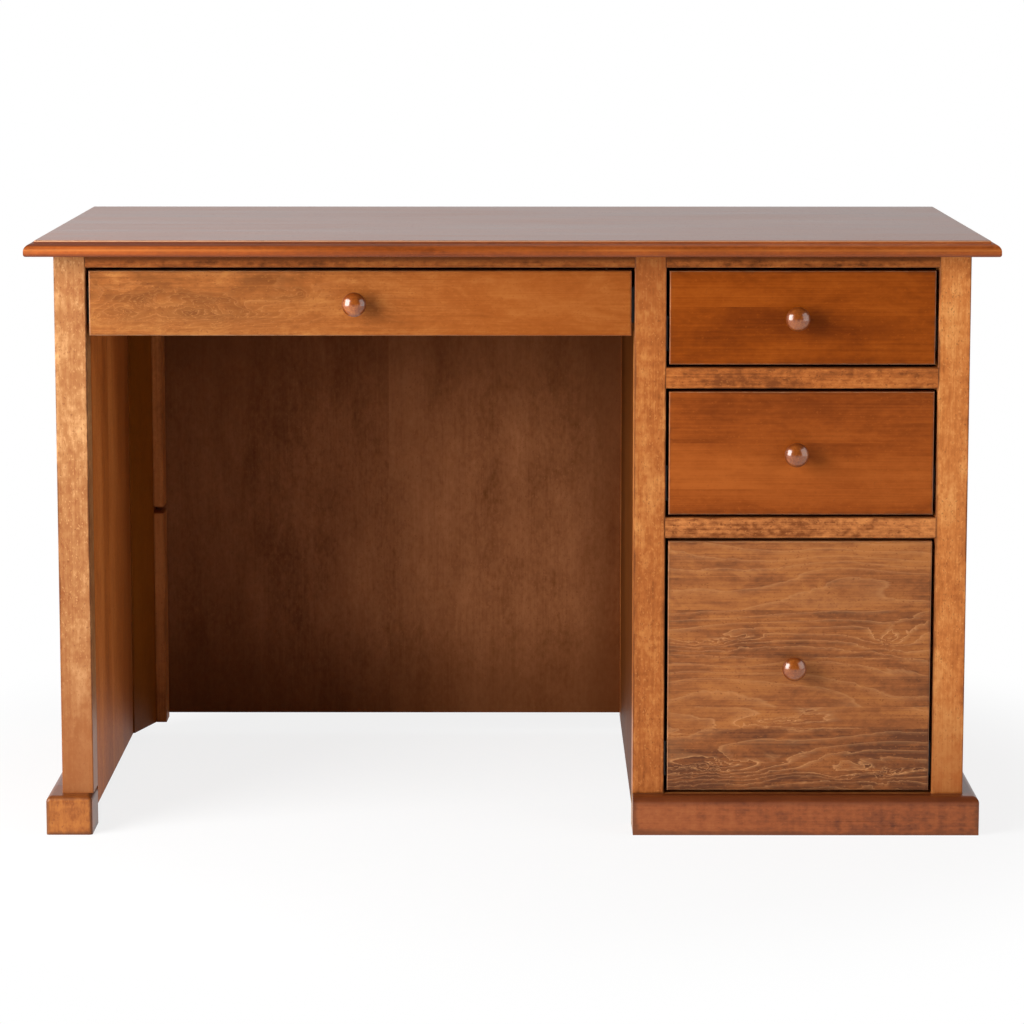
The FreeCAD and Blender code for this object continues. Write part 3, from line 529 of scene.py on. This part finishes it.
# Painted light and shade: PALE_SHADED_COPY and MIDDLE_SHADED_COPY are darker copies of GOLDEN for the left and
# middle front posts, set to how the lamps fall on each post.
PALE_SHADED_COPY = {**GOLDEN, "light": (0.56, 0.29, 0.120), "mid": (0.345, 0.143, 0.049), "dark": (0.25, 0.078, 0.022)}
MIDDLE_SHADED_COPY = {
    **GOLDEN, "light": (0.58, 0.232, 0.064), "mid": (0.40, 0.118, 0.0255), "dark": (0.235, 0.060, 0.012),
}
RAIL = {
    "light": (0.54, 0.190, 0.050), "mid": (0.37, 0.105, 0.024), "dark": (0.19, 0.050, 0.011),
    "specks": 0.6, "speck_share": 0.18, "blotch": 0.7, "mottle": 0.6, "curl": 0.2, "edge": 0.6,
    "edge_width": 0.0026,
}
# Painted shadow: a darker copy of RAIL that darkens further towards its top, for the rails under the desk
# top's overhang.
SHADED_RAIL = {
    **RAIL, "light": (0.39, 0.130, 0.029), "mid": (0.275, 0.073, 0.014), "dark": (0.11, 0.028, 0.005),
    "painted_shade_and_tone_fades": ((Z, 0.7315, 0.738, 0.88),),
}
# The base's wood; its fade is painted shade along the rounded top of each base piece.
BASE = {
    "light": (0.38, 0.112, 0.030), "mid": (0.285, 0.070, 0.0145), "dark": (0.10, 0.021, 0.005),
    "specks": 0.3, "streak": 0.3, "blotch": 0.3, "mottle": 0.4, "curl": 0.35, "edge": 0.65,
    "edge_width": 0.008, "gloss": 0.3, "shine": 0.35, "painted_shade_and_tone_fades": ((Z, 0.035, 0.047, 0.85),),
}
PANEL = {
    "light": (0.37, 0.130, 0.042), "mid": (0.23, 0.068, 0.016), "dark": (0.13, 0.034, 0.007),
    "specks": 0.3, "speck_share": 0.08, "streak": 0.3, "blotch": 0.25, "mottle": 0.2, "stain": 0.5,
    "edge": 0.3, "board_tone": 0.12, "shine": 0.06, "gloss": 0.5,
}
# Painted light: a lighter copy of the panel wood for the kneehole's left panel.
INNER_LEFT_LIT_COPY = {"light": (0.66, 0.240, 0.060), "mid": (0.47, 0.136, 0.027), "dark": (0.23, 0.057, 0.010)}
# Painted shade: a dark copy of the panel wood for the filler in the kneehole's back corner.
FILLER_SHADED_COPY = {"light": (0.30, 0.090, 0.012), "mid": (0.23, 0.064, 0.006), "dark": (0.15, 0.040, 0.004)}
# Painted shade: a much darker copy of the panel wood for the pedestal's side in the kneehole.
INNER_RIGHT_SHADED_COPY = {"light": (0.155, 0.050, 0.011), "mid": (0.095, 0.025, 0.003), "dark": (0.05, 0.012, 0.002)}
# Painted light: a lighter copy of the panel wood for the modesty panel at the kneehole's back.
BACK_LIT_COPY = {"light": (0.45, 0.176, 0.069), "mid": (0.295, 0.105, 0.0365), "dark": (0.11, 0.029, 0.005)}
HIDDEN = {
    "light": (0.46, 0.24, 0.11), "mid": (0.34, 0.16, 0.065), "dark": (0.2, 0.085, 0.03),
    "dark_edges_and_painted_shade": (0.2, 0.085, 0.03), "specks": 0.3, "gloss": 0.6, "edge": 0.2,
}
MAPLE = {
    "light": (0.78, 0.60, 0.40), "mid": (0.66, 0.47, 0.28), "dark": (0.48, 0.31, 0.16),
    "speck": (0.30, 0.17, 0.08), "dark_edges_and_painted_shade": (0.48, 0.31, 0.16), "specks": 0.3, "speck_share": 0.06,
    "streak": 0.5, "blotch": 0.3, "mottle": 0.2, "gloss": 0.45, "shine": 0.3, "edge": 0.15,
}
LOOKS = {
    "desk_top": {
        "axes": FLAT,
        "light": (0.44, 0.112, 0.018), "mid": (0.32, 0.068, 0.008), "dark": (0.16, 0.032, 0.004),
        "seams": (-0.212, -0.121, -0.018, 0.094, 0.187), "board_tone": 0.06, "specks": 0.25, "streak": 0.35,
        "edge": 0.12, "gloss": 0.30, "shine": 0.4, "quirk": (0.7552, 0.7604),
        "dark_edges_and_painted_shade": (0.125, 0.022, 0.002),
    },
    # Painted shade: the left front post darkens towards its bottom, the pedestal's left front post towards its
    # top and its right one towards its bottom.
    "left_front_post": {"axes": UPRIGHT, **PALE_SHADED_COPY, "painted_shade_and_tone_fades": ((Z, 0.32, 0.08, 0.85),)},
    "left_rear_post": {"axes": UPRIGHT, **GOLDEN},
    "pedestal_left_front_post": {"axes": UPRIGHT, **MIDDLE_SHADED_COPY, "painted_shade_and_tone_fades": ((Z, 0.62, 0.71, 0.4),)},
    # Painted light: a lighter copy of GOLDEN for the right front post, which the lamps light less.
    "pedestal_right_front_post": {
        "axes": UPRIGHT, **GOLDEN,
        "light": (0.70, 0.30, 0.089), "mid": (0.53, 0.168, 0.039), "dark": (0.33, 0.088, 0.018),
        "painted_shade_and_tone_fades": ((Z, 0.24, 0.06, 0.65),),
    },
    "pedestal_left_rear_post": {"axes": UPRIGHT, **GOLDEN},
    "pedestal_right_rear_post": {"axes": UPRIGHT, **GOLDEN},
    "kneehole_top_rail": {"axes": LEVEL, **SHADED_RAIL},
    # Painted light: the pedestal's top rail and drawer rails are lighter copies of their rail woods, set to
    # how the lamps fall on the pedestal.
    "pedestal_top_rail": {
        "axes": LEVEL, **SHADED_RAIL, "light": (0.50, 0.175, 0.042), "mid": (0.36, 0.10, 0.020),
    },
    "upper_drawer_rail": {
        "axes": LEVEL, **RAIL, "light": (0.59, 0.210, 0.051), "mid": (0.405, 0.116, 0.024),
    },
    "lower_drawer_rail": {
        "axes": LEVEL, **RAIL, "light": (0.66, 0.255, 0.073), "mid": (0.475, 0.160, 0.043),
    },
    "pedestal_bottom_rail": {"axes": LEVEL, **RAIL},
    "rear_top_rail": {"axes": LEVEL, **HIDDEN},
    "left_top_rail": {"axes": LEVEL_SIDE, **HIDDEN},
    "left_bottom_rail": {"axes": LEVEL_SIDE, **HIDDEN},
    "plinth_front": {"axes": LEVEL, **BASE},
    "plinth_side": {"axes": LEVEL_SIDE, **BASE},
    # Painted shade along the foot's top, where it meets the post.
    "left_front_foot": {
        "axes": UPRIGHT, **GOLDEN, "light": (0.37, 0.122, 0.023), "mid": (0.225, 0.058, 0.0085),
        "dark": (0.13, 0.030, 0.005), "edge": 0.9, "edge_width": 0.0065, "edge_rag": 0.8, "speck_share": 0.04,
        "streak": 0.15, "curl": 0.45, "shine": 0.3,
        "painted_shade_and_tone_fades": ((Z, 0.0455, 0.0495, 0.8),),
    },
    "left_base_board": {"axes": LEVEL_SIDE, **BASE},
    "pedestal_foot_blocks": {"axes": LEVEL, **HIDDEN},
    "left_outer_panel": {"axes": UPRIGHT_SIDE, **PANEL, "seams": (-0.08, 0.11)},
    # Painted shade: the kneehole's left panel darkens towards the back corner.
    "left_inner_panel": {"axes": UPRIGHT_SIDE, **PANEL, **INNER_LEFT_LIT_COPY, "seams": (-0.06, 0.13),
                         "painted_shade_and_tone_fades": ((Y, 0.0, 0.2, 0.75),)},
    "pedestal_left_side": {"axes": UPRIGHT_SIDE, **PANEL, **INNER_RIGHT_SHADED_COPY, "seams": (-0.04, 0.12)},
    "pedestal_right_side": {"axes": UPRIGHT_SIDE, **PANEL, "seams": (-0.09, 0.1)},
    "pedestal_back_panel": {"axes": UPRIGHT, **PANEL, "seams": (0.33,)},
    # Painted shade on the modesty panel: darker towards its top, its bottom and both ends.
    "modesty_panel": {
        "axes": UPRIGHT, **PANEL, **BACK_LIT_COPY, "seams": (-0.18,), "shades": (0.1, 0.9), "board_tone": 0.06,
        "blotch": 0.4, "stain": 0.6, "streak": 0.16, "mottle": 0.3,
        "painted_shade_and_tone_fades": ((Z, 0.40, 0.64, 0.75), (Z, 0.22, 0.03, 0.68), (X, 0.06, 0.15, 0.6), (X, 0.0, -0.16, 0.15),
                  (X, -0.28, -0.42, 0.4)),
    },
    "kneehole_corner_filler": {"axes": UPRIGHT_SIDE, **PANEL, **FILLER_SHADED_COPY},
    # Painted light: a lighter copy of the panel wood for the cleats' faces.
    "kneehole_corner_cleats": {
        "axes": UPRIGHT, **PANEL, "light": (0.58, 0.205, 0.062), "mid": (0.43, 0.14, 0.037),
    },
    "pedestal_floor_panel": {"axes": FLAT_SIDE, **HIDDEN},
    "slide_packers": {"axes": LEVEL_SIDE, **HIDDEN},
    "pencil_drawer_front": {
        "light": (0.445, 0.172, 0.043), "mid": (0.296, 0.0935, 0.0205), "dark": (0.17, 0.052, 0.011),
        "painted_shade_and_tone_fades": ((X, -0.38, 0.05, 0.6),), "fade": (0.29, 0.060, 0.002),
        "line": (0.60, 0.27, 0.09), "ring": 0.08, "eye_ring": 0.26, "eye_shade": 0.75, "edge_highlight": 0.4,
        "blotch": 0.9,
        "eyes": ((-0.484, 0.671, 0.050, 0.020, 7.0), (-0.400, 0.674, 0.035, 0.016, 6.0),
                 (-0.345, 0.667, 0.055, 0.011, 5.0), (-0.275, 0.690, 0.050, 0.008, 4.0)),
    },
    "top_drawer_front": {
        "light": (0.335, 0.075, 0.0065), "mid": (0.245, 0.049, 0.0033), "dark": (0.15, 0.027, 0.002),
        "specks": 0.2, "speck_share": 0.04, "blotch": 0.5, "stain": 1.0, "mottle": 0.2, "seams": (0.6765,),
        "board_tone": 0.14, "edge_highlight": 0.4, "shine": 0.08,
    },
    "middle_drawer_front": {
        "light": (0.37, 0.091, 0.014), "mid": (0.275, 0.060, 0.0078), "dark": (0.17, 0.034, 0.0045),
        "specks": 0.2, "speck_share": 0.04, "blotch": 0.5, "stain": 1.0, "mottle": 0.2,
        "seams": (0.445, 0.503), "board_tone": 0.08, "ring": 0.05, "edge_highlight": 0.4, "shine": 0.08,
        "eyes": ((0.501, 0.561, 0.016, 0.006, 3.0),),
    },
    "file_drawer_front": {
        "light": (0.40, 0.141, 0.038), "mid": (0.267, 0.086, 0.0255), "dark": (0.125, 0.042, 0.017),
        "line": (0.62, 0.29, 0.115), "ring": 0.30, "eye_ring": 0.8, "ring_count": 60.0, "streak": 0.6,
        "blotch": 0.8, "edge_highlight": 0.4, "board_tone": 0.3,
        "seams": (0.134, 0.162, 0.226, 0.288), "shades": (0.0, 0.75, 0.3, 0.55, 0.75),
        "eyes": ((0.262, 0.089, 0.09, 0.012, 4.0), (0.476, 0.078, 0.08, 0.010, 4.0),
                 (0.355, 0.146, 0.06, 0.008, 3.0), (0.268, 0.251, 0.06, 0.008, 3.0),
                 (0.485, 0.256, 0.03, 0.014, 4.0)),
    },
}
SEEDS = {node: count for count, node in enumerate(sorted(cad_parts), start=1)}
# Painted shade: the slides are near black, so that they read as shade in the drawer gaps.
steel = plated_steel("steel.slides_dark_as_shade", (0.10, 0.10, 0.105), 0.42)
screw_steel = plated_steel("steel.screws", (0.62, 0.60, 0.54), 0.4)


def material_for(node):
    seed = SEEDS[node]
    if node in LOOKS:
        return wood(node, seed, **LOOKS[node])
    if node.endswith("_knob"):
        return turned_wood(node, seed)
    if "slide" in node:
        return steel
    if node == "top_screws":
        return screw_steel
    axes = {"sides": LEVEL_SIDE, "back": LEVEL, "bottom": FLAT}[node.rsplit("_", 1)[1]]
    return wood(node, seed, axes=axes, **MAPLE)


for name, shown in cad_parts.items():
    look = material_for(name)
    shown.data.materials.clear()
    shown.data.materials.append(look)


# Studio

# The floor's half width and where it turns fully white, in metres, and the share that shows its shadow.
FLOOR_REACH = 9.0
FLOOR_WHITE_FROM = 0.65
FLOOR_WHITE_TO = 1.05
SHADOW_SHARE = 0.17

# The world's strengths, and the directions between which reflections show the backdrop.
AMBIENT = 0.10
FRONT_REFLECTION = 0.06
BACKDROP_FROM = 0.55
BACKDROP_TO = 0.95
BACKDROP_SIDE = 0.15
BACKDROP_RIGHT = 0.84

# White, the floor's paper, and the height that the lamps aim at.
WHITE = (1.0, 1.0, 1.0, 1.0)
PAPER_DARK = (0.84, 0.84, 0.84)
PAPER_LIGHT = (0.88, 0.88, 0.88)
PAPER_PER_METRE = (40.0, 40.0, 40.0)
PAPER_MEAN = 0.5
AIM_HEIGHT = 0.4

# Each lamp's name, azimuth and elevation in degrees, distance, width and height in metres, and watts.
LAMPS = (
    ("key", -54.0, 17.0, 2.6, 1.6, 1.8, 111.0),
    ("fill", 64.0, 17.0, 2.6, 2.0, 2.0, 28.0),
    ("overhead", 180.0, 68.0, 3.2, 2.2, 2.2, 18.0),
)

# The camera, in metres and degrees, with its lens and sensor in millimetres.
CAMERA_PLACE = (0.0093, -4.4985, 1.1030)
CAMERA_PITCH = 7.504
CAMERA_YAW = 0.132
CAMERA_LENS = 118.65
CAMERA_SENSOR = 36.0
CAMERA_SHIFT = -0.10


def background_rays(g):
    """Whether a ray comes from the camera, and whether from a reflection or through glass."""
    path = g.add("ShaderNodeLightPath")
    mirrored = g.math("MAXIMUM", path.outputs["Is Glossy Ray"], path.outputs["Is Transmission Ray"])
    return path.outputs["Is Camera Ray"], mirrored


def make_world():
    """White to the camera, bright in reflections of the backdrop, dim in other reflections and as a light."""
    world = bpy.data.worlds.new("studio")
    world.use_nodes = True
    scene.world = world
    g = Graph(world.node_tree)
    background = g.add("ShaderNodeBackground")
    g.put(background.inputs["Color"], WHITE)
    direct, mirrored = background_rays(g)
    rightward, backward, _ = g.split(g.add("ShaderNodeTexCoord").outputs["Generated"])
    backdrop = g.band(rightward, -BACKDROP_SIDE, BACKDROP_SIDE, 1.0 - AMBIENT, BACKDROP_RIGHT - AMBIENT,
                      smooth=False)
    reflection = g.band(backward, BACKDROP_FROM, BACKDROP_TO, FRONT_REFLECTION - AMBIENT, backdrop)
    strength = g.total(AMBIENT, g.math("MULTIPLY", direct, 1.0 - AMBIENT),
                       g.math("MULTIPLY", mirrored, reflection))
    g.put(background.inputs["Strength"], strength)
    g.put(g.add("ShaderNodeOutputWorld").inputs["Surface"], background.outputs[0])


def make_floor():
    """A pale paper floor: white to the camera and in reflections, with a share of the shadow near the desk."""
    mesh = bpy.data.meshes.new("floor")
    corners = [(x * FLOOR_REACH, y * FLOOR_REACH, 0.0) for x, y in ((-1, -1), (1, -1), (1, 1), (-1, 1))]
    mesh.from_pydata(corners, [], [(0, 1, 2, 3)])
    floor = bpy.data.objects.new("floor", mesh)
    scene.collection.objects.link(floor)
    material, g = new_material("floor.white")
    point = g.add("ShaderNodeTexCoord").outputs["Object"]
    x, y, _ = g.split(point)
    speckle = g.noise(point, PAPER_PER_METRE, detail=3.0)
    paper = g.mix(g.math("ADD", PAPER_MEAN, speckle), PAPER_DARK, PAPER_LIGHT)
    diffuse = g.add("ShaderNodeBsdfDiffuse")
    g.put(diffuse.inputs["Color"], paper)
    white = g.add("ShaderNodeEmission")
    white.inputs["Color"].default_value = WHITE
    white.inputs["Strength"].default_value = 1.0
    distance = g.math("SQRT", g.math("ADD", g.math("MULTIPLY", x, x), g.math("MULTIPLY", y, y)))
    whiteness = g.band(distance, FLOOR_WHITE_FROM, FLOOR_WHITE_TO, 1.0 - SHADOW_SHARE, 1.0)
    shares = g.add("ShaderNodeMixShader")
    g.put(shares.inputs[0], g.math("MULTIPLY", g.math("MAXIMUM", *background_rays(g)), whiteness))
    g.put(shares.inputs[1], diffuse.outputs[0])
    g.put(shares.inputs[2], white.outputs[0])
    g.put(g.add("ShaderNodeOutputMaterial").inputs["Surface"], shares.outputs[0])
    mesh.materials.append(material)


def make_lamp(name, azimuth, elevation, distance, width, height, watts):
    """A soft box aimed at the desk's middle. Azimuth 0 is straight in front, and positive is to the right."""
    data = bpy.data.lights.new(name, "AREA")
    data.shape = "RECTANGLE"
    data.size = width
    data.size_y = height
    data.energy = watts
    lamp = bpy.data.objects.new(name, data)
    scene.collection.objects.link(lamp)
    turn = math.radians(azimuth)
    tilt = math.radians(elevation)
    level = distance * math.cos(tilt)
    lamp.location = (level * math.sin(turn), -level * math.cos(turn), AIM_HEIGHT + distance * math.sin(tilt))
    lamp.rotation_euler = (math.pi / 2 - tilt, 0.0, turn)


def make_camera():
    data = bpy.data.cameras.new("camera")
    data.sensor_width = CAMERA_SENSOR
    data.lens = CAMERA_LENS
    data.shift_y = CAMERA_SHIFT
    camera = bpy.data.objects.new("camera", data)
    camera.location = CAMERA_PLACE
    camera.rotation_euler = (math.radians(90.0 - CAMERA_PITCH), 0.0, math.radians(CAMERA_YAW))
    scene.collection.objects.link(camera)
    scene.camera = camera


make_world()
make_floor()
for lamp_values in LAMPS:
    make_lamp(*lamp_values)
make_camera()
